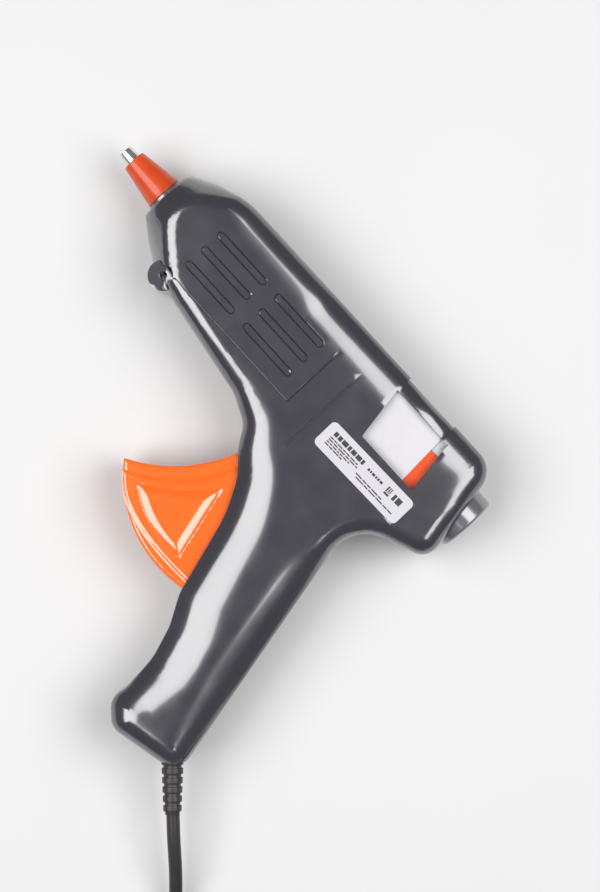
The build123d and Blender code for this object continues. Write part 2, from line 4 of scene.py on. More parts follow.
import bmesh
import bpy
from bpy.props import FloatProperty, FloatVectorProperty, IntProperty, PointerProperty
from mathutils import Matrix, Vector
from mathutils.kdtree import KDTree


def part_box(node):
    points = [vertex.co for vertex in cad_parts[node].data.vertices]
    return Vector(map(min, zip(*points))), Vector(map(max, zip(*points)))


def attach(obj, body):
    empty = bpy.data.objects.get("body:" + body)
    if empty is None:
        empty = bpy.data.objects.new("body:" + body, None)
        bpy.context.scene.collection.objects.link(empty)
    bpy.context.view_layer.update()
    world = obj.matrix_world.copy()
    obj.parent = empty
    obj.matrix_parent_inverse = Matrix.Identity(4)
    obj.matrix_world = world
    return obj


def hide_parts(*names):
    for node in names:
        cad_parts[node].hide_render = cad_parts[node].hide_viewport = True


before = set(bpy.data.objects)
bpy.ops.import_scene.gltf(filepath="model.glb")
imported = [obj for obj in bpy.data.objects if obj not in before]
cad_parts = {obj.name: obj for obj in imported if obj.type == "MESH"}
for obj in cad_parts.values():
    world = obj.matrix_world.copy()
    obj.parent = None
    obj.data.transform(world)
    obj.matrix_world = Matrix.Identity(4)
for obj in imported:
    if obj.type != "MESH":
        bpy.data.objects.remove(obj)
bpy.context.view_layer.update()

bl_info = {
    "name": "Glue gun",
    "version": (1, 0, 0),
    "blender": (4, 5, 0),
    "location": "3D View > Sidebar > Glue gun",
    "description": "Models and finishes a hot-melt glue gun on the packed frame",
    "category": "Object",
}

MM = 0.001

# The gun's own frame: X back along the barrel from the nozzle's tip, Y up as it is held,
# Z out of its left side, with the parting plane of the two shells at Z = 0.
NOZZLE_LOW, NOZZLE_HIGH = (Vector(corner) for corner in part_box("nozzle"))
GUN_ORIGIN = Vector((NOZZLE_LOW.x, (NOZZLE_LOW.y + NOZZLE_HIGH.y) / 2,
                     (NOZZLE_LOW.z + NOZZLE_HIGH.z) / 2))
HALF_THICK = 17.0  # from the parting plane to the side of a shell, mm


def place(x, y, z=0.0):
    """A point of the gun's own frame, in mm, as a place in the model, in metres."""
    return GUN_ORIGIN + Vector((x, y, z)) * MM


# --- colours and sizes ---------------------------------------------------------
def linear(colour):
    """Turns an sRGB hex colour such as "FF7300" to linear red, green and blue."""
    channels = [int(colour[i:i + 2], 16) / 255 for i in (0, 2, 4)]
    return tuple(c / 12.92 if c <= 0.04045 else ((c + 0.055) / 1.055) ** 2.4 for c in channels)


def colour_property(name, description, default):
    return FloatVectorProperty(name=name, description=description, subtype="COLOR", size=3,
                               min=0.0, max=1.0, default=linear(default))


class GluegunColours(bpy.types.PropertyGroup):
    """The colours of the gun's plastics, metals and silicones."""
    shell: colour_property("Shells", "Black ABS of the two shells", "26232F")
    trigger: colour_property("Trigger", "Orange polypropylene of the trigger", "FF6800")
    cover: colour_property("Nozzle cover", "Orange silicone round the nozzle", "CA4210")
    clamp: colour_property("Stick clamp", "Orange polypropylene of the clamp", "F0541A")
    collar: colour_property("Collars", "Grey ABS of the front and inlet collars", "5C5A62")
    carriage: colour_property("Carriage", "White acetal of the stick carriage", "CCCACF")
    label: colour_property("Label", "White polyester film of the rating label", "C6C4CA")
    print_ink: colour_property("Label print", "Ink of the bars on the label", "2A2A2E")
    cord: colour_property("Cord", "PVC of the cord, its guard and its plug", "2A2726")
    floor: colour_property("Floor", "The pale floor", "D6D6D6")


class GluegunSizes(bpy.types.PropertyGroup):
    """The sizes that a user may change."""
    edge_break: FloatProperty(
        name="Edge break", description="How far the moulded edges are rounded",
        default=0.3 * MM, min=0.05 * MM, max=1.0 * MM, unit="LENGTH")
    crown: FloatProperty(
        name="Crown", description="How deep the shells' sides fall away along the front of the grip",
        default=6.0 * MM, min=0.0, max=6.5 * MM, unit="LENGTH")
    coil_steps: IntProperty(
        name="Points in a turn", description="Control points in one turn of the cord's coil",
        default=16, min=12, max=32)
    view_height: FloatProperty(
        name="Camera height", description="From the parting plane up to the camera",
        default=1.1, min=0.6, max=3.0, unit="LENGTH")
    view_span: FloatProperty(
        name="View height", description="How much of the parting plane the frame's long side spans",
        default=343.1 * MM, min=0.1, max=1.0, unit="LENGTH")


# --- materials ------------------------------------------------------------------
def add_node(tree, kind, settings=None, values=None, links=None):
    """Adds a node: settings are its own options, values its inputs' numbers, links what feeds them."""
    node = tree.nodes.new(kind)
    for name, value in (settings or {}).items():
        setattr(node, name, value)
    for name, value in (values or {}).items():
        node.inputs[name].default_value = value
    for name, socket in (links or {}).items():
        tree.links.new(socket, node.inputs[name])
    return node


def start_material(name, colour, roughness, metallic=0.0, ior=1.5):
    """A new material with a plain principled shader, and its tree and shader."""
    material = bpy.data.materials.new(name)
    material.use_nodes = True
    material.diffuse_color = (*colour, 1.0)
    tree = material.node_tree
    shader = tree.nodes["Principled BSDF"]
    shader.inputs["Base Color"].default_value = (*colour, 1.0)
    shader.inputs["Roughness"].default_value = roughness
    shader.inputs["Metallic"].default_value = metallic
    if not metallic:
        shader.inputs["IOR"].default_value = ior
    return material, tree, shader


def mottle(tree, shader, colour, spread, size):
    """Varies a colour a little, in patches of about size metres."""
    where = add_node(tree, "ShaderNodeTexCoord").outputs["Object"]
    patches = add_node(tree, "ShaderNodeTexNoise", values={"Scale": 1 / size, "Detail": 3.0,
                                                           "Roughness": 0.5},
                       links={"Vector": where})
    ramp = add_node(tree, "ShaderNodeValToRGB", links={"Fac": patches.outputs["Fac"]})
    low, high = ramp.color_ramp.elements
    low.position, high.position = 0.3, 0.7
    low.color = (*(c * (1 - spread) for c in colour), 1.0)
    high.color = (*(min(1.0, c * (1 + spread)) for c in colour), 1.0)
    tree.links.new(ramp.outputs["Color"], shader.inputs["Base Color"])
    return where


def vary_roughness(tree, shader, where, low, high, size):
    """Roughness that drifts from low to high in patches of about size metres."""
    patches = add_node(tree, "ShaderNodeTexNoise", values={"Scale": 1 / size, "Detail": 2.0},
                       links={"Vector": where})
    drift = add_node(tree, "ShaderNodeMapRange", values={"To Min": low, "To Max": high},
                     links={"Value": patches.outputs["Fac"]})
    tree.links.new(drift.outputs["Result"], shader.inputs["Roughness"])


def grain(tree, shader, where, size, depth, strength=0.5):
    """A fine skin, in grains of about size metres and depth metres deep."""
    grains = add_node(tree, "ShaderNodeTexNoise", values={"Scale": 1 / size, "Detail": 2.0,
                                                          "Roughness": 0.55},
                      links={"Vector": where})
    bump = add_node(tree, "ShaderNodeBump", values={"Strength": strength, "Distance": depth},
                    links={"Height": grains.outputs["Fac"]})
    tree.links.new(bump.outputs["Normal"], shader.inputs["Normal"])


def polished_moulded_abs(name, colour):
    """ABS moulded in a polished tool: a dark, even skin with broad, crisp highlights."""
    material, tree, shader = start_material(name, colour, 0.22, ior=1.6)
    where = mottle(tree, shader, colour, 0.06, 22 * MM)
    vary_roughness(tree, shader, where, 0.17, 0.26, 9 * MM)
    shader.inputs["Specular IOR Level"].default_value = 1.0
    shader.inputs["Coat Weight"].default_value = 1.0
    shader.inputs["Coat IOR"].default_value = 1.6
    shader.inputs["Coat Roughness"].default_value = 0.09
    # the tool's polish leaves waves of about 0.3 mm, drawn at 0.9 mm so that they show
    grain(tree, shader, where, 0.9 * MM, 0.004 * MM)
    return material


def glossy_moulded_polypropylene(name, colour):
    """Injection-moulded polypropylene: waxy depth under a glossy skin, with faint flow marks."""
    material, tree, shader = start_material(name, colour, 0.2, ior=1.6)
    where = mottle(tree, shader, colour, 0.05, 14 * MM)
    shader.inputs["Specular IOR Level"].default_value = 0.4
    shader.inputs["Coat IOR"].default_value = 1.8
    shader.inputs["Subsurface Weight"].default_value = 0.12
    shader.inputs["Subsurface Radius"].default_value = (1.0, 0.35, 0.1)
    shader.inputs["Subsurface Scale"].default_value = 1.2 * MM
    shader.inputs["Coat Weight"].default_value = 1.0
    shader.inputs["Coat Roughness"].default_value = 0.08
    grain(tree, shader, where, 2.5 * MM, 0.012 * MM, 0.35)
    return material


def moulded_silicone(name, colour):
    """Heat-proof silicone rubber: a satin skin under a thin gloss from the tool."""
    material, tree, shader = start_material(name, colour, 0.4, ior=1.41)
    where = mottle(tree, shader, colour, 0.08, 6 * MM)
    shader.inputs["Coat Weight"].default_value = 0.5
    shader.inputs["Coat Roughness"].default_value = 0.14
    grain(tree, shader, where, 0.5 * MM, 0.01 * MM)
    return material


def moulded_acetal(name, colour):
    """White acetal: slightly milky, with an even satin skin."""
    material, tree, shader = start_material(name, colour, 0.36, ior=1.48)
    where = mottle(tree, shader, colour, 0.02, 12 * MM)
    shader.inputs["Subsurface Weight"].default_value = 0.1
    shader.inputs["Subsurface Scale"].default_value = 0.8 * MM
    grain(tree, shader, where, 0.8 * MM, 0.006 * MM)
    return material


def turned_metal(name, colour, roughness, pitch, depth):
    """Metal turned on a lathe round the barrel's axis: fine rings that catch the light."""
    material, tree, shader = start_material(name, colour, roughness, metallic=1.0)
    where = mottle(tree, shader, colour, 0.07, 4 * MM)
    # rings at the tool's feed; a wave's bands run along X
    rings = add_node(tree, "ShaderNodeTexWave",
                     settings={"wave_type": "BANDS", "bands_direction": "X", "wave_profile": "SIN"},
                     values={"Scale": 0.314 / pitch, "Distortion": 0.6, "Detail": 1.0},
                     links={"Vector": where})
    bump = add_node(tree, "ShaderNodeBump", values={"Strength": 0.4, "Distance": depth},
                    links={"Height": rings.outputs["Fac"]})
    tree.links.new(bump.outputs["Normal"], shader.inputs["Normal"])
    return material


def rolled_metal(name, colour, roughness):
    """Drawn or rolled metal, as in pins, screws and springs: smooth, with faint patches."""
    material, tree, shader = start_material(name, colour, roughness, metallic=1.0)
    where = mottle(tree, shader, colour, 0.1, 3 * MM)
    vary_roughness(tree, shader, where, roughness * 0.8, roughness * 1.3, 2 * MM)
    grain(tree, shader, where, 0.3 * MM, 0.004 * MM)
    return material


def cast_aluminium(name, colour):
    """Die-cast aluminium: dull grey with a coarse, slightly pitted skin."""
    material, tree, shader = start_material(name, colour, 0.5, metallic=1.0)
    where = mottle(tree, shader, colour, 0.15, 5 * MM)
    grain(tree, shader, where, 0.9 * MM, 0.05 * MM, 0.7)
    return material


def printed_film(name, colour):
    """White polyester film: flat and slightly glossy."""
    material, tree, shader = start_material(name, colour, 0.3, ior=1.57)
    where = mottle(tree, shader, colour, 0.012, 8 * MM)
    grain(tree, shader, where, 1.5 * MM, 0.004 * MM, 0.3)
    return material


def printing_ink(name, colour):
    """Thin grey-black ink on the film, a little lighter where it is thin."""
    material, tree, shader = start_material(name, colour, 0.45)
    mottle(tree, shader, colour, 0.35, 0.4 * MM)
    return material


def extruded_pvc(name, colour):
    """Extruded or overmoulded PVC: a soft dark skin with a faint grain."""
    material, tree, shader = start_material(name, colour, 0.42, ior=1.54)
    where = mottle(tree, shader, colour, 0.08, 10 * MM)
    vary_roughness(tree, shader, where, 0.38, 0.5, 5 * MM)
    grain(tree, shader, where, 0.45 * MM, 0.012 * MM)
    return material


def heater_ceramic(name, colour):
    """Fired barium titanate: matt, fine-grained stone."""
    material, tree, shader = start_material(name, colour, 0.8, ior=1.6)
    where = mottle(tree, shader, colour, 0.2, 1.2 * MM)
    grain(tree, shader, where, 0.3 * MM, 0.03 * MM)
    return material


def amber_film(name, colour):
    """Polyimide film round the heater: amber and glossy."""
    material, tree, shader = start_material(name, colour, 0.2, ior=1.7)
    where = mottle(tree, shader, colour, 0.1, 7 * MM)
    grain(tree, shader, where, 3 * MM, 0.02 * MM)
    return material


def matt_floor(name, colour):
    """A pale sheet of matt paper board."""
    material, tree, shader = start_material(name, colour, 0.85)
    where = mottle(tree, shader, colour, 0.01, 90 * MM)
    grain(tree, shader, where, 0.8 * MM, 0.01 * MM, 0.3)
    return material


# --- modelling helpers ------------------------------------------------------------
MERGE_UNDER = 0.002 * MM  # loose triangles' corners closer than this are one
COPLANAR_UNDER = math.radians(0.3)  # triangles that bend less than this are one face
SMOOTH_UNDER = math.radians(35.0)  # edges that bend less than this are shaded smooth


def only(piece):
    """Makes one object the active and only selected one."""
    bpy.ops.object.select_all(action="DESELECT")
    piece.select_set(True)
    bpy.context.view_layer.objects.active = piece


def finish_piece(piece, body, material, nodes=()):
    """Gives a piece its material, the CAD body it rides on and the CAD nodes it stands for."""
    piece.data.materials.clear()
    piece.data.materials.append(material)
    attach(piece, body)
    if nodes:
        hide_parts(*nodes)


def working_copy(node, name):
    """A copy of a CAD node's mesh with its loose triangles merged into whole faces."""
    copy = bpy.data.objects.new(name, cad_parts[node].data.copy())
    bpy.context.collection.objects.link(copy)
    only(copy)
    bpy.ops.object.mode_set(mode="EDIT")
    bpy.ops.mesh.select_all(action="SELECT")
    bpy.ops.mesh.remove_doubles(threshold=MERGE_UNDER)
    bpy.ops.mesh.customdata_custom_splitnormals_clear()
    bpy.ops.mesh.dissolve_limited(angle_limit=COPLANAR_UNDER)
    bpy.ops.object.mode_set(mode="OBJECT")
    return copy


def level_flats(piece, group=""):
    """Large flat faces keep their own direction, so the rounded edges beside them don't shade them."""
    only(piece)
    flats = piece.modifiers.new("flat_faces", "WEIGHTED_NORMAL")
    flats.keep_sharp = True
    flats.weight = 80
    flats.vertex_group = group
    bpy.ops.object.modifier_apply(modifier=flats.name)


def break_edges(piece, width, sharper_than=30.0, segments=2, level=True):
    """Rounds the sharp edges a little, as a mould does, and shades the rest smooth."""
    only(piece)
    bevel = piece.modifiers.new("edge_break", "BEVEL")
    bevel.width = width
    bevel.segments = segments
    bevel.limit_method = "ANGLE"
    bevel.angle_limit = math.radians(sharper_than)
    bevel.miter_outer = "MITER_ARC"
    bpy.ops.object.modifier_apply(modifier=bevel.name)
    bpy.ops.object.shade_smooth_by_angle(angle=SMOOTH_UNDER)
    if level:
        level_flats(piece)


def cut_grid(piece, x_span, y_span, step):
    """Cuts a piece along evenly spaced upright planes, in both directions, so that its faces can bend."""
    cuts = [((x_span[0] + i * step, 0), (1, 0, 0)) for i in range(int((x_span[1] - x_span[0]) / step))]
    cuts += [((0, y_span[0] + i * step), (0, 1, 0)) for i in range(int((y_span[1] - y_span[0]) / step))]
    only(piece)
    bpy.ops.object.mode_set(mode="EDIT")
    for (x, y), normal in cuts:
        bpy.ops.mesh.select_all(action="SELECT")
        bpy.ops.mesh.bisect(plane_co=place(x, y), plane_no=normal)
    bpy.ops.object.mode_set(mode="OBJECT")


def paint(node, material):
    """Puts a material on a CAD node that keeps its own shape."""
    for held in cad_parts[node].material_slots:
        held.material = material
    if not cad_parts[node].material_slots:
        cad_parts[node].data.materials.append(material)


# --- stage ------------------------------------------------------------------------
RIGHT = Vector((0.6756, 0.7373, 0.0))  # the way that is right in the frame
UP = Vector((-0.7373, 0.6756, 0.0))
LOOK_AT = place(129.0, -27.0)
FLOOR_SIZE = 6.0  # metres
SKY_STRENGTH = 0.2
# Soft boxes: name, metres right of the gun, up in the frame and above it, width, length, watts
SOFT_BOXES = (
    ("soft_box_left", -0.62, 0.0, 0.95, 0.85, 0.85, 11.0),
    ("soft_box_right", 0.6, 0.05, 0.95, 0.8, 0.85, 10.0),
)


def soft_box(name, across, along, height, wide, long, power):
    """An area light beside the gun, turned to its middle."""
    light = bpy.data.lights.new(name, "AREA")
    light.shape = "RECTANGLE"
    light.size, light.size_y, light.energy = wide, long, power
    lamp = bpy.data.objects.new(name, light)
    bpy.context.collection.objects.link(lamp)
    lamp.location = LOOK_AT + RIGHT * across + UP * along + Vector((0, 0, height))
    towards = (lamp.location - LOOK_AT).normalized()
    side = UP.cross(towards).normalized()
    lamp.rotation_euler = Matrix((side, towards.cross(side), towards)).transposed().to_euler()


class OBJECT_OT_gluegun_stage(bpy.types.Operator):
    """Lay the floor, hang the lights and set up the camera"""
    bl_idname = "gluegun.stage"
    bl_label = "Stage"

    def execute(self, context):
        scene = context.scene
        sizes, colours = scene.gluegun_sizes, scene.gluegun_colours
        bpy.ops.mesh.primitive_plane_add(size=FLOOR_SIZE, location=(LOOK_AT.x, LOOK_AT.y, 0.0))
        floor = context.active_object
        floor.name = "floor"
        bpy.ops.object.transform_apply(location=True, rotation=True, scale=True)
        floor.data.materials.append(matt_floor("matt_paper_board", tuple(colours.floor)))

        scene.view_settings.view_transform = "Standard"
        world = bpy.data.worlds.new("studio")
        scene.world = world
        world.use_nodes = True
        sky = world.node_tree.nodes["Background"]
        sky.inputs["Color"].default_value = (1.0, 1.0, 1.0, 1.0)
        sky.inputs["Strength"].default_value = SKY_STRENGTH
        for box in SOFT_BOXES:
            soft_box(*box)

        camera = bpy.data.cameras.new("camera")
        camera.sensor_fit = "VERTICAL"
        camera.sensor_height = 36.0
        camera.lens = camera.sensor_height * sizes.view_height / sizes.view_span
        eye = bpy.data.objects.new("camera", camera)
        context.collection.objects.link(eye)
        eye.matrix_world = Matrix((
            (RIGHT.x, UP.x, 0.0, LOOK_AT.x), (RIGHT.y, UP.y, 0.0, LOOK_AT.y),
            (0.0, 0.0, 1.0, LOOK_AT.z + sizes.view_height), (0.0, 0.0, 0.0, 1.0)))
        scene.camera = eye
        return {"FINISHED"}


# --- cord -----------------------------------------------------------------------------
CORD_R = 2.6
CORD_EXIT = (184.5, -144.4)  # middle of the flat on the grip's heel
CORD_HEADING = -42.5  # degrees from the barrel's axis
# (run along the guard's heading, distance to its left, height above the floor), mm
CORD_LEAD = [(0, 0, 17.0), (25.0, 0, 17.0), (49.0, 1.4, 10.2), (72.0, -0.4, 2.65), (87.5, 0, 3.2)]
CORD_TAIL = [(-5.2, 9.8, 8.6), (-8.7, 16.8, 8.7), (-13.1, 24.7, 8.6)]  # from where it leaves the coil
COIL_TURNS = [(36.2, 3.4), (31.0, 3.4), (25.8, 3.4), (25.8, 8.6), (31.0, 8.6), (36.2, 8.6)]  # radius, height
COIL_AT = (97.8, 36.2)
COIL_FROM, COIL_TO = -90.0, 28.0  # degrees, where the cord joins the coil and leaves it
SHIFT = 50.0  # degrees at the end of a turn in which the cord moves to the next one


def along_cord(run, side, height):
    """A point by its distance out along the guard, to its left, and above the floor, in mm."""
    a = math.radians(CORD_HEADING)
    return place(CORD_EXIT[0] + run * math.cos(a) - side * math.sin(a),
                 CORD_EXIT[1] + run * math.sin(a) + side * math.cos(a), height - HALF_THICK)


def coil_points(steps):
    """The coil's turns: three side by side on the floor and three on top of them."""
    # a spline cuts inside its control points, so those of a circle stand further out
    outward = 8 / (6 + 2 * math.cos(2 * math.pi / steps))
    points = []
    sweep = 360.0 * (len(COIL_TURNS) - 1) + COIL_TO - COIL_FROM
    for i in range(1, round(steps * sweep / 360) + 1):
        turned = sweep * i / round(steps * sweep / 360)
        turn = min(int(turned // 360), len(COIL_TURNS) - 1)
        radius, height = COIL_TURNS[turn]
        into = (turned - 360 * turn - (360 - SHIFT)) / SHIFT
        if into > 0 and turn + 1 < len(COIL_TURNS):
            blend = into * into * (3 - 2 * into)
            radius += (COIL_TURNS[turn + 1][0] - radius) * blend
            height += (COIL_TURNS[turn + 1][1] - height) * blend
        a = math.radians(COIL_FROM + turned)
        points.append((COIL_AT[0] + radius * outward * math.cos(a),
                       COIL_AT[1] + radius * outward * math.sin(a), height))
    return points


class OBJECT_OT_gluegun_cord(bpy.types.Operator):
    """Lay the mains cord from the grip's heel through its coil to the plug"""
    bl_idname = "gluegun.cord"
    bl_label = "Cord"

    def execute(self, context):
        a = math.radians(COIL_TO)
        leaves = (COIL_AT[0] + COIL_TURNS[-1][0] * math.cos(a), COIL_AT[1] + COIL_TURNS[-1][0] * math.sin(a))
        tail = [(leaves[0] + run, leaves[1] + side, height) for run, side, height in CORD_TAIL]
        route = CORD_LEAD + coil_points(context.scene.gluegun_sizes.coil_steps) + tail
        curve = bpy.data.curves.new("cord", "CURVE")
        curve.dimensions = "3D"
        curve.bevel_depth = CORD_R * MM
        curve.bevel_resolution = 5
        curve.use_fill_caps = True
        spline = curve.splines.new("NURBS")
        spline.points.add(len(route) - 1)
        for point, at in zip(spline.points, route):
            point.co = (*along_cord(*at), 1.0)
        spline.order_u = 3
        spline.use_endpoint_u = True
        spline.resolution_u = 6
        spline.use_smooth = True
        cord = bpy.data.objects.new("cord", curve)
        context.collection.objects.link(cord)
        pvc = extruded_pvc("extruded_pvc_cord", tuple(context.scene.gluegun_colours.cord))
        finish_piece(cord, "housing", pvc, ["cord_lead", "cord_coil", "cord_tail"])
        return {"FINISHED"}


# --- shells -------------------------------------------------------------------------------
# Stations round the shells' outline: where, how far in from the edge the side begins to fall
# away, and how deep it falls at the edge, as a share of the deepest. All in the gun's frame, mm.
CROWN_STATIONS = (
    ((36, 14), 10, 0.15), ((60, 22), 14, 0.45), ((125, 22), 17, 0.62), ((180, 22), 17, 0.62),
    ((190, 5), 8, 0.12), ((193, -20), 6, 0.06), ((176, -27), 5, 0.0), ((162, -35), 6, 0.0),
    ((170, -62), 15, 0.75), ((178, -95), 15, 0.8), ((186, -130), 14, 0.7), ((189, -147), 8, 0.1),
    ((164, -154), 8, 0.1), ((153, -150), 14, 0.5), ((150, -138), 18, 0.9), ((149, -122), 20, 1.0),
    ((141, -103), 20, 1.0), ((131, -72), 19, 1.0), ((121, -52), 17, 0.95), ((110, -39), 14, 0.6),
    ((97, -32), 8, 0.2), ((60, -26), 5, 0.1), ((38, -21), 6, 0.1),
)
STATION_REACH = 11.0  # how far along the outline a station's values hold, mm
STRAIGHT_WALL = 10.0  # a shell's wall stands straight up to here, and its rounded edge begins
EDGE_R = 7.0
FLATS = "flats"
NEARLY_FLAT = 0.02  # a fall under this, mm, counts as flat
GRID = 2.5  # mm between the cuts that let the sides bend
GRID_X, GRID_Y = (27, 195), (-151, 24)  # from and to, in the gun's frame, mm


def outline_points(shell):
    """Points every half millimetre along the line where the shell's wall begins to round over."""
    mesh, points = shell.data, []
    for edge in mesh.edges:
        a, b = ((mesh.vertices[i].co - GUN_ORIGIN) / MM for i in edge.vertices)
        if abs(abs(a.z) - STRAIGHT_WALL) < 0.02 and abs(abs(b.z) - STRAIGHT_WALL) < 0.02:
            steps = int((b - a).length / 0.5) + 1
            points += [a.lerp(b, i / steps).to_2d() for i in range(steps + 1)]
    return points


# Recesses in the left side: the ends of their middle lines, half their width, their depth, and
# how much narrower their floors are than their mouths, as a share
VENT_ENDS = [((x - 11.55, y), (x + 11.55, y)) for x in (61.75, 93.75) for y in (4.75, -3.4, -11.5)]
LINE_ENDS = [((50.0, -19.0), (113.0, -19.0)), ((113.0, -19.0), (113.0, 8.0)), ((125.0, -32.0), (125.0, 7.0))]
RECESSES = [(*ends, 1.7, 0.9, 0.35) for ends in VENT_ENDS] + [(*ends, 0.4, 0.5, 0.8) for ends in LINE_ENDS]
MOUTH_BREAK = 0.35  # the rounding of a recess's mouth reaches this far out of it, mm


def slope_recesses(shell):
    """Leans the walls of the vents and panel lines inwards, as a mould's draught does."""
    for vertex in shell.data.vertices:
        x, y, z = (vertex.co - GUN_ORIGIN) / MM
        for start, end, half, depth, lean in RECESSES:
            down = HALF_THICK - z
            if not 0.01 < down < depth + 0.05:
                continue
            start, run = Vector(start), Vector(end) - Vector(start)
            share = min(1.0, max(0.0, (Vector((x, y)) - start).dot(run) / run.length_squared))
            off = Vector((x, y)) - start - run * share
            if off.length < half + MOUTH_BREAK:
                vertex.co -= Vector((off.x, off.y, 0)) * MM * lean * down / depth
                break


def crown_at(point):
    """How far in the side falls away from this point of the outline, and how deep."""
    reach = depth = total = 0.0
    for where, far, share in CROWN_STATIONS:
        weight = math.exp(-(point - Vector(where)).length_squared / (2 * STATION_REACH ** 2)) + 1e-9
        reach, depth, total = reach + weight * far, depth + weight * share, total + weight
    return reach / total, depth / total


def crown_shell(shell, deepest):
    """Cuts the sides into a grid, then lets them fall away towards the edges."""
    edge = outline_points(shell)
    crowns = [crown_at(point) for point in edge]
    tree = KDTree(len(edge))
    for i, point in enumerate(edge):
        tree.insert((*point, 0), i)
    tree.balance()
    cut_grid(shell, GRID_X, GRID_Y, GRID)
    level = []
    for vertex in shell.data.vertices:
        x, y, z = (vertex.co - GUN_ORIGIN) / MM
        if abs(z) > STRAIGHT_WALL:
            _, nearest, away = tree.find((x, y, 0))
            reach, share = crowns[nearest]
            fall = deepest * share * max(0.0, 1 - away / reach) ** 2
            above = (abs(z) - STRAIGHT_WALL) * (1 - fall / EDGE_R)
            vertex.co.z = GUN_ORIGIN.z + math.copysign(STRAIGHT_WALL + above, z) * MM
            if fall < NEARLY_FLAT and away > EDGE_R:
                level.append(vertex.index)
    shell.vertex_groups.new(name=FLATS).add(level, 1.0, "REPLACE")
    level_flats(shell, FLATS)
    shell.vertex_groups.clear()


class OBJECT_OT_gluegun_shells(bpy.types.Operator):
    """Crown the two shells, round their edges and give them their black ABS"""
    bl_idname = "gluegun.shells"
    bl_label = "Shells"

    def execute(self, context):
        sizes = context.scene.gluegun_sizes
        black = polished_moulded_abs("polished_moulded_abs_shell", tuple(context.scene.gluegun_colours.shell))
        for side in ("left", "right"):
            shell = working_copy(f"housing_{side}", f"shell_{side}")
            break_edges(shell, sizes.edge_break, level=False)
            slope_recesses(shell)
            crown_shell(shell, sizes.crown / MM)
            finish_piece(shell, "housing", black, [f"housing_{side}"])
        return {"FINISHED"}


# --- rating label ------------------------------------------------------------------------
LABEL_AT, LABEL_TILT = (152.8, -16.0), 1.2  # middle, and degrees from the barrel's axis
LABEL_LONG, LABEL_WIDE = 44.0, 11.7
PRINT_HEIGHT = 16.97  # just proud of the film, in the gun's frame
WORD_SPREAD, WORD_BEAT, SHORTEST_WORD = 0.35, 2.3, 0.3  # how uneven the bars' lengths are
# Rows of plain bars that stand for print: from, to and up from the label's lower left corner,
# the bars' height, and the length of a word and the gap after it, mm
PRINT_ROWS = (
    (3.6, 19.5, 8.3, 1.9, 2.0, 0.45), (3.4, 18.2, 6.2, 0.5, 1.9, 0.35),
    (3.4, 19.0, 5.2, 0.5, 2.6, 0.4), (3.4, 16.0, 4.2, 0.5, 1.5, 0.35),
    (3.4, 12.5, 3.2, 0.5, 2.2, 0.35), (22.0, 30.2, 8.0, 1.0, 1.0, 0.35),
    (32.4, 34.8, 8.2, 2.4, 0.5, 0.35), (32.4, 34.8, 6.3, 0.8, 2.4, 0.2),
    (36.2, 40.6, 7.6, 2.6, 1.9, 0.5),
    (20.0, 34.5, 3.6, 0.5, 2.4, 0.4), (21.0, 40.5, 2.5, 0.5, 3.1, 0.4),
)


def add_bar(x, y, length, height):
    """One printed bar, added to the mesh in edit mode, in the label's own directions."""
    turn = math.radians(LABEL_TILT)
    across, up = x + length / 2 - LABEL_LONG / 2, y - LABEL_WIDE / 2
    at = place(LABEL_AT[0] + across * math.cos(turn) - up * math.sin(turn),
               LABEL_AT[1] + across * math.sin(turn) + up * math.cos(turn), PRINT_HEIGHT)
    bpy.ops.mesh.primitive_plane_add(size=MM, location=at, rotation=(0, 0, turn))
    bpy.ops.transform.resize(value=(length, height, 1), orient_type="GLOBAL", center_override=at)


class OBJECT_OT_gluegun_label(bpy.types.Operator):
    """Give the rating label its film and plain printed bars"""
    bl_idname = "gluegun.label"
    bl_label = "Rating label"

    def execute(self, context):
        colours = context.scene.gluegun_colours
        paint("rating_label", printed_film("printed_polyester_film", tuple(colours.label)))
        bpy.ops.mesh.primitive_plane_add(size=MM, location=(0, 0, 0))
        bars = context.active_object
        bars.name = "label_print"
        only(bars)
        bpy.ops.object.mode_set(mode="EDIT")
        bpy.ops.mesh.select_all(action="SELECT")
        bpy.ops.mesh.delete(type="VERT")
        for start, end, up, height, word, gap in PRINT_ROWS:
            x, count = start, 0
            while x < end - SHORTEST_WORD:
                length = min(word * (1 + WORD_SPREAD * math.sin(WORD_BEAT * count + start)), end - x)
                add_bar(x, up, length, height)
                x, count = x + length + gap, count + 1
        bpy.ops.mesh.select_all(action="DESELECT")
        bpy.ops.object.mode_set(mode="OBJECT")
        ink = printing_ink("printing_ink", tuple(colours.print_ink))
        finish_piece(bars, "housing", ink)
        return {"FINISHED"}


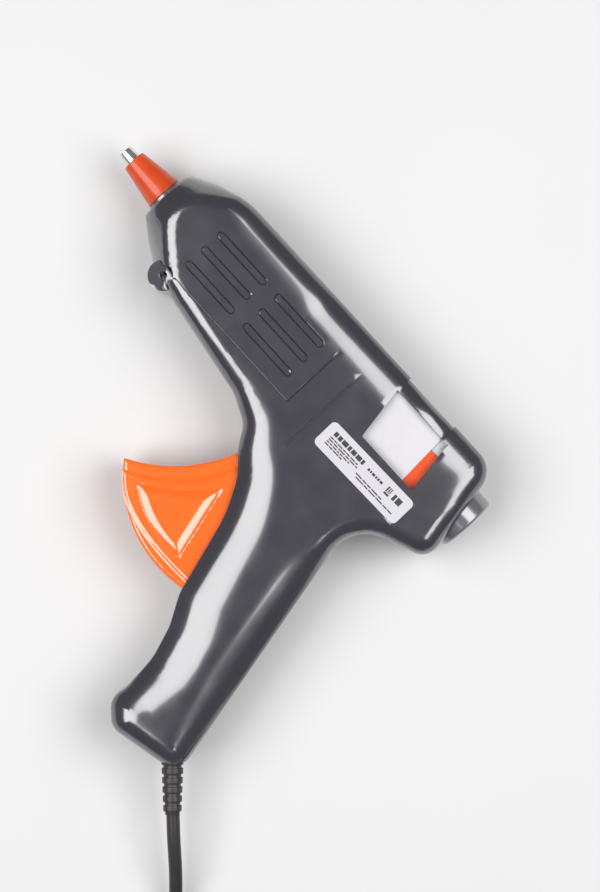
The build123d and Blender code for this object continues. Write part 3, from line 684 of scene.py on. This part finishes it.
# --- hot end -------------------------------------------------------------------------------
class OBJECT_OT_gluegun_hot_end(bpy.types.Operator):
    """Finish the nozzle, its silicone cover, the front collar and the melting chamber"""
    bl_idname = "gluegun.hot_end"
    bl_label = "Hot end"

    def execute(self, context):
        colours = context.scene.gluegun_colours
        silicone = moulded_silicone("moulded_silicone_cover", tuple(colours.cover))
        cover = working_copy("nozzle_cover", "silicone_cover")
        break_edges(cover, 0.35 * MM, segments=3)
        finish_piece(cover, "housing", silicone, ["nozzle_cover"])
        paint("inlet_sleeve", silicone)
        nozzle = working_copy("nozzle", "turned_nozzle")
        break_edges(nozzle, 0.15 * MM)
        finish_piece(nozzle, "housing",
                     turned_metal("turned_nickelled_brass", linear("E4E2DE"), 0.2, 0.25 * MM, 0.004 * MM),
                     ["nozzle"])
        paint("front_collar", polished_moulded_abs("polished_moulded_abs_collar", tuple(colours.collar)))
        paint("melting_chamber", cast_aluminium("cast_aluminium_chamber", linear("A9ABAD")))
        paint("ptc_heater", heater_ceramic("fired_barium_titanate", linear("5A5650")))
        paint("heater_film", amber_film("amber_polyimide_film", linear("C77A1E")))
        return {"FINISHED"}


# --- trigger and stick drive -----------------------------------------------------------------
TRIGGER_AT, HUB_R = Vector((127.0, -43.0)), 7.0
TRIGGER_HALF = 9.0  # from the parting plane to the trigger's sides, mm
TRIGGER_GRID, TRIGGER_X, TRIGGER_Y = 0.8, (88, 144), (-97, -45)
# Outlines on the trigger's sides: each run is an arc through three points, in the gun's frame, mm
RIM_ARCS = (
    ((119.5, -49.1), (108.9, -68.2), (90.6, -83.0)), ((90.6, -83.0), (109.0, -92.64), (143.0, -93.32)),
    ((143.0, -93.32), (139.0, -76.0), (132.0, -46.0)),
)
DISH_ARCS = (
    ((121.1, -59.6), (111.4, -71.6), (97.2, -82.4)), ((97.2, -82.4), (112.0, -89.2), (129.2, -90.2)),
    ((129.2, -90.2), (125.15, -74.9), (121.1, -59.6)),
)
# the step inside the rim: its depth, how far outside its line it starts, and its run, mm
RIM_DEPTH, RIM_START, RIM_SLOPE = 0.8, 0.8, 2.0
DISH_DEPTH, DISH_SLOPE = 1.3, 4.2
POCKET_LOW = TRIGGER_HALF - RIM_DEPTH - DISH_DEPTH - 1  # the sides' vertices all lie above this, mm
POCKET_HIGH = TRIGGER_HALF + 0.05


def outline(arcs, count=12):
    """Points along shallow arcs, each given by its ends and a point on it."""
    points = []
    for start, middle, end in (tuple(Vector(p) for p in arc) for arc in arcs):
        bend = 2 * middle - (start + end) / 2
        points += [start * (1 - t) ** 2 + bend * 2 * t * (1 - t) + end * t * t
                   for t in (i / count for i in range(count))]
    return points


def depth_inside(point, closed):
    """How far a point lies inside a closed outline, in mm; negative outside it."""
    inside, nearest = False, math.inf
    for a, b in zip(closed, closed[1:] + closed[:1]):
        run = b - a
        share = min(1.0, max(0.0, (point - a).dot(run) / run.length_squared))
        nearest = min(nearest, (point - a - run * share).length)
        if (a.y > point.y) != (b.y > point.y) and point.x < a.x + (point.y - a.y) / run.y * run.x:
            inside = not inside
    return nearest if inside else -nearest


def dish_trigger(trigger):
    """Gives the trigger's sides their rounded rim and the soft dish inside it."""
    rim, dish = outline(RIM_ARCS), outline(DISH_ARCS)
    for vertex in trigger.data.vertices:
        x, y, z = (vertex.co - GUN_ORIGIN) / MM
        at = Vector((x, y))
        inside = depth_inside(at, rim) + RIM_START
        clear_of_hub = (at - TRIGGER_AT).length > HUB_R
        if inside > 0 and POCKET_LOW < abs(z) < POCKET_HIGH and clear_of_hub:
            step = min(1.0, inside / RIM_SLOPE)
            scoop = 1 - (1 - min(1.0, max(0.0, depth_inside(at, dish)) / DISH_SLOPE)) ** 2
            height = TRIGGER_HALF - RIM_DEPTH * step * step * (3 - 2 * step) - DISH_DEPTH * scoop
            vertex.co.z = GUN_ORIGIN.z + math.copysign(height, z) * MM


class OBJECT_OT_gluegun_trigger(bpy.types.Operator):
    """Round the trigger's rims and give it its glossy orange"""
    bl_idname = "gluegun.trigger"
    bl_label = "Trigger"

    def execute(self, context):
        trigger = working_copy("trigger", "trigger_finger")
        break_edges(trigger, 0.6 * MM, segments=3, level=False)
        cut_grid(trigger, TRIGGER_X, TRIGGER_Y, TRIGGER_GRID)
        dish_trigger(trigger)
        bpy.ops.object.mode_set(mode="EDIT")
        bpy.ops.mesh.select_all(action="SELECT")
        bpy.ops.mesh.remove_doubles(threshold=0.01 * MM)
        bpy.ops.object.mode_set(mode="OBJECT")
        bpy.ops.object.shade_smooth_by_angle(angle=SMOOTH_UNDER)
        orange = glossy_moulded_polypropylene("glossy_moulded_polypropylene_trigger",
                                              tuple(context.scene.gluegun_colours.trigger))
        finish_piece(trigger, "trigger", orange, ["trigger"])
        return {"FINISHED"}


class OBJECT_OT_gluegun_stick_drive(bpy.types.Operator):
    """Finish the carriage, the stick clamp and the link between them and the trigger"""
    bl_idname = "gluegun.stick_drive"
    bl_label = "Stick drive"

    def execute(self, context):
        colours = context.scene.gluegun_colours
        acetal = moulded_acetal("moulded_acetal_carriage", tuple(colours.carriage))
        carriage = working_copy("carriage", "stick_carriage")
        break_edges(carriage, 0.2 * MM)
        finish_piece(carriage, "carriage", acetal, ["carriage"])
        paint("feed_link", acetal)
        clamp = working_copy("stick_clamp", "stick_clamp_plate")
        break_edges(clamp, 0.5 * MM, segments=3)
        finish_piece(clamp, "stick_clamp",
                     glossy_moulded_polypropylene("glossy_moulded_polypropylene_clamp", tuple(colours.clamp)),
                     ["stick_clamp"])
        return {"FINISHED"}


# --- inlet -------------------------------------------------------------------------------------
class OBJECT_OT_gluegun_inlet(bpy.types.Operator):
    """Finish the inlet collar"""
    bl_idname = "gluegun.inlet"
    bl_label = "Inlet collar"

    def execute(self, context):
        collar = working_copy("inlet_collar", "inlet_ring")
        break_edges(collar, 0.4 * MM, segments=3)
        finish_piece(collar, "housing", polished_moulded_abs(
            "polished_moulded_abs_inlet", tuple(context.scene.gluegun_colours.collar)),
            ["inlet_collar"])
        return {"FINISHED"}


# --- screws ---------------------------------------------------------------------------------------
SCREWS = ((48, 14.2), (105, 15.2), (63, -19.6), (184.5, -15.8), (148, -38), (164, -113), (160, -143))
SCREW_HEAD = (2.8, -10.0, -8.0)  # radius, and its height from -10 up to -8 in the gun's frame
THREAD_ROOT_R, THREAD_SWELL, SCREW_TIP = 1.0, 1.25, 8.4
THREADS = 14
# the cross: its blades' length and width, how far they sink, and how much they narrow
CROSS_LONG, CROSS_WIDE, CROSS_SINK, CROSS_TAPER = 3.5, 0.7, 1.1, 0.45
STEEL_NODES = ("arm_pin", "check_ball", "check_spring", "clamp_pin", "cord_clamp_screws",
               "heater_screws", "return_spring", "sleeve_clamp", "tang_pin", "trigger_pin",
               "heater_clamp")


def model_screw(at):
    """A pan-head screw with a cross recess and a rolled thread, pointing up through the bosses."""
    radius, low, high = SCREW_HEAD
    bpy.ops.mesh.primitive_cylinder_add(vertices=32, radius=radius * MM, depth=(high - low) * MM,
                                        location=place(*at, (low + high) / 2))
    screw = bpy.context.active_object
    only(screw)
    bpy.ops.object.transform_apply(location=True, rotation=True, scale=True)
    bpy.ops.object.mode_set(mode="EDIT")
    bpy.ops.mesh.select_mode(type="FACE")
    select_faces(screw, lambda face: face.normal.z > 0.9)
    # the shank: a ring drawn in, then pulled up in steps that leave a thread
    bpy.ops.mesh.inset(thickness=(radius - THREAD_ROOT_R) * MM)
    step = (SCREW_TIP - high) / (2 * THREADS)
    for i in range(2 * THREADS):
        bpy.ops.mesh.extrude_region_move(TRANSFORM_OT_translate={"value": (0, 0, step * MM)})
        wide = 1 / THREAD_SWELL if i % 2 else THREAD_SWELL
        bpy.ops.transform.resize(value=(wide, wide, 1), orient_type="GLOBAL",
                                 center_override=place(*at, 0))
    bpy.ops.object.mode_set(mode="OBJECT")
    cross_recess(screw, at)
    break_edges(screw, 0.12 * MM, sharper_than=50)
    return screw


def select_faces(piece, wanted):
    """Selects, in edit mode, only the faces for which wanted(face) is true."""
    bpy.ops.mesh.select_all(action="DESELECT")
    mesh = bmesh.from_edit_mesh(piece.data)
    for face in mesh.faces:
        face.select_set(wanted(face))
    bmesh.update_edit_mesh(piece.data)


def cross_recess(screw, at):
    """Sinks a tapered cross into the screw's head, from below."""
    low = SCREW_HEAD[1]
    for turn in (0, 90):
        bpy.ops.mesh.primitive_cube_add(size=MM, location=place(*at, low),
                                        rotation=(0, 0, math.radians(turn)))
        blade = bpy.context.active_object
        only(blade)
        bpy.ops.object.transform_apply(location=True, rotation=True, scale=True)
        bpy.ops.object.mode_set(mode="EDIT")
        bpy.ops.mesh.select_all(action="SELECT")
        across = (CROSS_WIDE, CROSS_LONG) if turn else (CROSS_LONG, CROSS_WIDE)
        bpy.ops.transform.resize(value=(*across, 2 * CROSS_SINK), orient_type="GLOBAL",
                                 center_override=place(*at, low))
        select_faces(blade, lambda face: face.normal.z > 0.9)
        bpy.ops.transform.resize(value=(CROSS_TAPER, CROSS_TAPER, 1), orient_type="GLOBAL",
                                 center_override=place(*at, low))
        bpy.ops.object.mode_set(mode="OBJECT")
        cut = screw.modifiers.new("recess", "BOOLEAN")
        cut.operation = "DIFFERENCE"
        cut.object = blade
        only(screw)
        bpy.ops.object.modifier_apply(modifier=cut.name)
        bpy.data.objects.remove(blade)


class OBJECT_OT_gluegun_screws(bpy.types.Operator):
    """Model one housing screw and set a copy in each boss"""
    bl_idname = "gluegun.screws"
    bl_label = "Screws"

    def execute(self, context):
        first = model_screw(SCREWS[0])
        copies = [first]
        for at in SCREWS[1:]:
            copy = first.copy()
            copy.data = first.data.copy()
            copy.data.transform(Matrix.Translation(place(*at) - place(*SCREWS[0])))
            context.collection.objects.link(copy)
            copies.append(copy)
        bpy.ops.object.select_all(action="DESELECT")
        for copy in copies:
            copy.select_set(True)
        context.view_layer.objects.active = first
        bpy.ops.object.join()
        first.name = "shell_screws"
        steel = rolled_metal("drawn_zinced_steel", linear("B9BBBE"), 0.3)
        finish_piece(first, "housing", steel, ["housing_screws"])
        for node in STEEL_NODES:
            paint(node, steel)
        return {"FINISHED"}


# --- cord's fittings ------------------------------------------------------------------------------
SLEEVE_LONG = 9.0  # the insulated part of a plug's pin, mm


class OBJECT_OT_gluegun_plug(bpy.types.Operator):
    """Finish the plug with its half-sleeved pins, the cord guard and the tie"""
    bl_idname = "gluegun.plug"
    bl_label = "Plug and cord guard"

    def execute(self, context):
        pvc = extruded_pvc("overmoulded_pvc", tuple(context.scene.gluegun_colours.cord))
        for node, name, width, slot in (("plug_body", "plug_moulding", 0.8, "plug_plastic"),
                                        ("cord_guard", "ribbed_guard", 0.25, "cord_pvc"),
                                        ("coil_tie", "coil_band", 0.3, "tie_plastic"),
                                        ("plug_fuse_cover", "fuse_cover", 0.15, "fuse_cover_plastic")):
            piece = working_copy(node, name)
            break_edges(piece, width * MM)
            finish_piece(piece, "housing", pvc, [node])
        brass = rolled_metal("rolled_brass", linear("D9B566"), 0.28)
        pins = working_copy("plug_pins", "sleeved_pins")
        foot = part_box("plug_pins")[0][2]
        bpy.ops.object.mode_set(mode="EDIT")
        bpy.ops.mesh.select_all(action="SELECT")
        bpy.ops.mesh.bisect(plane_co=(0, 0, foot + SLEEVE_LONG * MM), plane_no=(0, 0, 1))
        bpy.ops.object.mode_set(mode="OBJECT")
        break_edges(pins, 0.15 * MM)
        finish_piece(pins, "housing", brass, ["plug_pins"])
        pins.data.materials.append(pvc)
        for face in pins.data.polygons:
            face.material_index = 1 if face.center.z < foot + SLEEVE_LONG * MM else 0
        earth = working_copy("plug_earth_pin", "earth_pin")
        break_edges(earth, 0.2 * MM)
        finish_piece(earth, "housing", brass, ["plug_earth_pin"])
        for node in ("heater_electrodes", "terminals"):
            paint(node, brass)
        for node in ("inner_cable", "cord_clamp"):
            paint(node, pvc)
        paint("wire_live", extruded_pvc("extruded_pvc_brown", linear("6B3F22")))
        paint("wire_neutral", extruded_pvc("extruded_pvc_blue", linear("2B5FB0")))
        return {"FINISHED"}


class VIEW3D_PT_gluegun(bpy.types.Panel):
    """The glue gun's sizes, colours and steps"""
    bl_label = "Glue gun"
    bl_idname = "VIEW3D_PT_gluegun"
    bl_space_type = "VIEW_3D"
    bl_region_type = "UI"
    bl_category = "Glue gun"

    def draw(self, context):
        for group in (context.scene.gluegun_sizes, context.scene.gluegun_colours):
            for name in group.__annotations__:
                self.layout.prop(group, name)
        for step in STEPS:
            self.layout.operator(step.bl_idname)


STEPS = (OBJECT_OT_gluegun_stage, OBJECT_OT_gluegun_cord, OBJECT_OT_gluegun_shells,
         OBJECT_OT_gluegun_label, OBJECT_OT_gluegun_hot_end, OBJECT_OT_gluegun_trigger,
         OBJECT_OT_gluegun_stick_drive, OBJECT_OT_gluegun_inlet, OBJECT_OT_gluegun_screws,
         OBJECT_OT_gluegun_plug)
CLASSES = (GluegunColours, GluegunSizes, *STEPS, VIEW3D_PT_gluegun)


def register():
    for cls in CLASSES:
        bpy.utils.register_class(cls)
    bpy.types.Scene.gluegun_colours = PointerProperty(type=GluegunColours)
    bpy.types.Scene.gluegun_sizes = PointerProperty(type=GluegunSizes)


def unregister():
    del bpy.types.Scene.gluegun_sizes
    del bpy.types.Scene.gluegun_colours
    for cls in reversed(CLASSES):
        bpy.utils.unregister_class(cls)


def main():
    """Builds everything."""
    register()
    bpy.ops.object.select_all(action="DESELECT")
    bpy.ops.gluegun.stage()
    bpy.ops.gluegun.plug()
    bpy.ops.gluegun.cord()
    bpy.ops.gluegun.shells()
    bpy.ops.gluegun.label()
    bpy.ops.gluegun.hot_end()
    bpy.ops.gluegun.trigger()
    bpy.ops.gluegun.stick_drive()
    bpy.ops.gluegun.inlet()
    bpy.ops.gluegun.screws()


if __name__ == "__main__":
    main()
